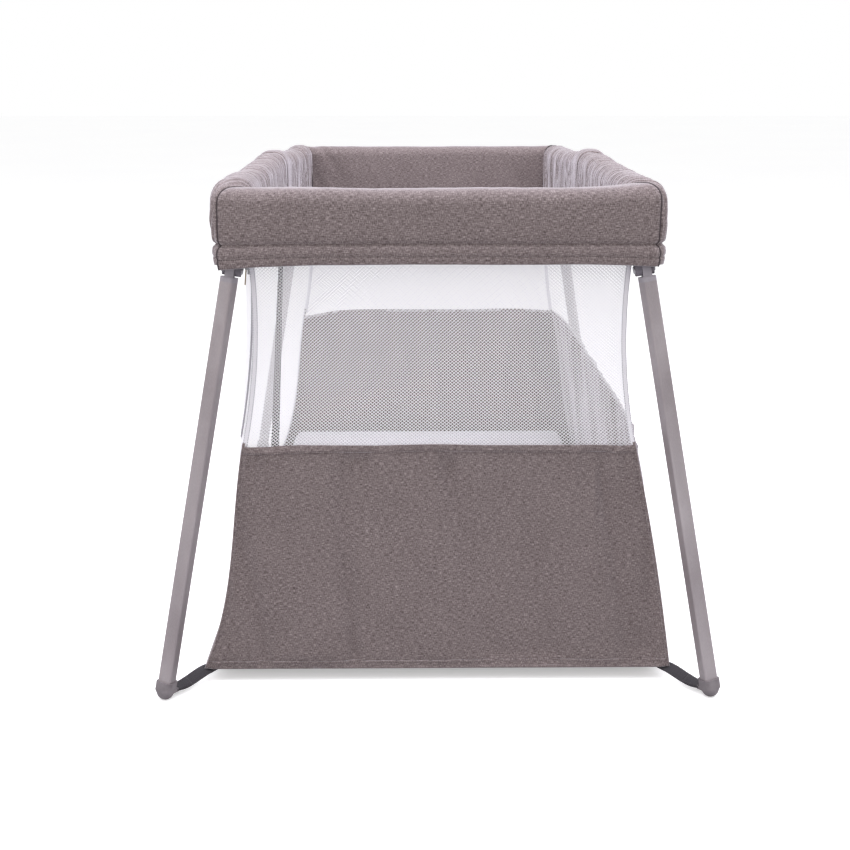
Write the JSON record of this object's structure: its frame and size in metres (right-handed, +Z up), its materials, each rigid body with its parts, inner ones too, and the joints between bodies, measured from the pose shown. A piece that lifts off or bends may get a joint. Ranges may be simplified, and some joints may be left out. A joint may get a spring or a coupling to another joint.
{
  "type": "travel play yard",
  "caption": "Folding travel play yard: padded top rail hinged at mid length, splayed folding legs, and a netting and cloth body with a door zip over a mattress.",
  "frame": {"origin": "centre of the footprint, on the floor", "axes": "+Z up, +Y along the length towards the far end (which stays put as the near end folds over), +X across the width, to the right seen from the near end"},
  "size_m": [0.807, 1.2614, 0.724],
  "materials": {
    "rail_tube": "satin, hidden inside the covers",
    "leg_tube": "satin anodised, warm grey",
    "bracket_plastic": "moulded, dark grey",
    "knuckle_plastic": "moulded, light grey",
    "foot_plastic": "moulded, fine grain, mid grey",
    "button_plastic": "moulded",
    "pin_steel": "zinc plated",
    "cover_cloth": "heather grey chambray, padded",
    "wall_cloth": "heather grey chambray",
    "netting": "white warp-knit netting with round holes",
    "floor_cloth": "coated plain weave",
    "mattress_cloth": "pale knitted ticking",
    "webbing": "charcoal webbing",
    "zip_tape": "light grey woven tape and nylon teeth",
    "zip_metal": "plated",
    "zip_cord": "cream cord pull"
  },
  "bodies": {
    "far_half": {"far_end_rail": "rail_tube", "far_side_rails": "rail_tube", "far_left_bracket": "bracket_plastic", "far_right_bracket": "bracket_plastic", "far_hinge_knuckles": "bracket_plastic", "far_rivets": "pin_steel", "far_leg_pins": "pin_steel", "far_button_springs": "pin_steel", "far_straps": "webbing", "far_end_cover": "cover_cloth", "far_left_cover": "cover_cloth", "far_right_cover": "cover_cloth", "far_end_netting": "netting", "far_end_cloth": "wall_cloth", "far_left_netting": "netting", "far_right_netting": "netting", "far_right_cloth": "wall_cloth", "far_floor": "floor_cloth", "far_mattress": "mattress_cloth", "rail_hinge_pins": "pin_steel"},
    "near_half": {"near_end_rail": "rail_tube", "near_side_rails": "rail_tube", "near_left_bracket": "bracket_plastic", "near_right_bracket": "bracket_plastic", "near_hinge_knuckles": "bracket_plastic", "near_rivets": "pin_steel", "near_leg_pins": "pin_steel", "near_button_springs": "pin_steel", "near_straps": "webbing", "near_end_cover": "cover_cloth", "near_left_cover": "cover_cloth", "near_right_cover": "cover_cloth", "near_end_netting": "netting", "near_end_cloth": "wall_cloth", "near_left_netting": "netting", "near_right_netting": "netting", "near_right_cloth": "wall_cloth", "near_floor": "floor_cloth", "near_mattress": "mattress_cloth", "zip_tape": "zip_tape"},
    "far_left_leg_body": {"far_left_knuckle": "knuckle_plastic", "far_left_leg": "leg_tube", "far_left_foot": "foot_plastic"},
    "far_left_button_body": {"far_left_button": "button_plastic"},
    "far_right_leg_body": {"far_right_knuckle": "knuckle_plastic", "far_right_leg": "leg_tube", "far_right_foot": "foot_plastic"},
    "far_right_button_body": {"far_right_button": "button_plastic"},
    "near_left_leg_body": {"near_left_knuckle": "knuckle_plastic", "near_left_leg": "leg_tube", "near_left_foot": "foot_plastic"},
    "near_left_button_body": {"near_left_button": "button_plastic"},
    "near_right_leg_body": {"near_right_knuckle": "knuckle_plastic", "near_right_leg": "leg_tube", "near_right_foot": "foot_plastic"},
    "near_right_button_body": {"near_right_button": "button_plastic"},
    "left_latch_body": {"left_latch": "button_plastic"},
    "right_latch_body": {"right_latch": "button_plastic"},
    "zip_slider_body": {"zip_slider": "zip_metal"},
    "zip_pull_body": {"zip_pull": "zip_cord"}
  },
  "joints": [
    {"name": "rail_fold", "type": "hinge", "parent": "far_half", "child": "near_half", "pos_m": [0, 0, 0.716], "axis": [-1, 0, 0], "range_deg": [0, 178]},
    {"name": "far_left_leg_fold", "type": "hinge", "parent": "far_half", "child": "far_left_leg_body", "pos_m": [-0.282, 0.55, 0.60591], "axis": [-0.9839, 0, 0.1786], "range_deg": [0, 96], "deforming": ["far_straps"]},
    {"name": "far_left_button_press", "type": "slide", "parent": "far_half", "child": "far_left_button_body", "axis": [-1, 0, 0], "range_m": [0, 0.004], "stiffness_N_per_m": 500, "springref_m": -0.002, "deforming": ["far_button_springs"]},
    {"name": "far_right_leg_fold", "type": "hinge", "parent": "far_half", "child": "far_right_leg_body", "pos_m": [0.282, 0.55, 0.60591], "axis": [-0.9839, 0, -0.1786], "range_deg": [0, 96], "deforming": ["far_straps"]},
    {"name": "far_right_button_press", "type": "slide", "parent": "far_half", "child": "far_right_button_body", "axis": [1, 0, 0], "range_m": [0, 0.004], "stiffness_N_per_m": 500, "springref_m": -0.002, "deforming": ["far_button_springs"]},
    {"name": "near_left_leg_fold", "type": "hinge", "parent": "near_half", "child": "near_left_leg_body", "pos_m": [-0.282, -0.55, 0.60591], "axis": [0.9839, 0, -0.1786], "range_deg": [0, 96], "deforming": ["near_straps"]},
    {"name": "near_left_button_press", "type": "slide", "parent": "near_half", "child": "near_left_button_body", "axis": [-1, 0, 0], "range_m": [0, 0.004], "stiffness_N_per_m": 500, "springref_m": -0.002, "deforming": ["near_button_springs"]},
    {"name": "near_right_leg_fold", "type": "hinge", "parent": "near_half", "child": "near_right_leg_body", "pos_m": [0.282, -0.55, 0.60591], "axis": [0.9839, 0, 0.1786], "range_deg": [0, 96], "deforming": ["near_straps"]},
    {"name": "near_right_button_press", "type": "slide", "parent": "near_half", "child": "near_right_button_body", "axis": [1, 0, 0], "range_m": [0, 0.004], "stiffness_N_per_m": 500, "springref_m": -0.002, "deforming": ["near_button_springs"]},
    {"name": "left_latch_press", "type": "slide", "parent": "far_half", "child": "left_latch_body", "axis": [0, 0, 1], "range_m": [0, 0.004], "stiffness_N_per_m": 500, "springref_m": -0.002},
    {"name": "right_latch_press", "type": "slide", "parent": "far_half", "child": "right_latch_body", "axis": [0, 0, 1], "range_m": [0, 0.004], "stiffness_N_per_m": 500, "springref_m": -0.002},
    {"name": "zip_slide", "type": "slide", "parent": "near_half", "child": "zip_slider_body", "axis": [-0.0969, 0, -0.9953], "range_m": [0, 0.234]},
    {"name": "zip_pull_swing", "type": "hinge", "parent": "zip_slider_body", "child": "zip_pull_body", "pos_m": [-0.26699, -0.505, 0.60056], "axis": [0, 1, 0], "range_deg": [0, 110]}
  ]
}
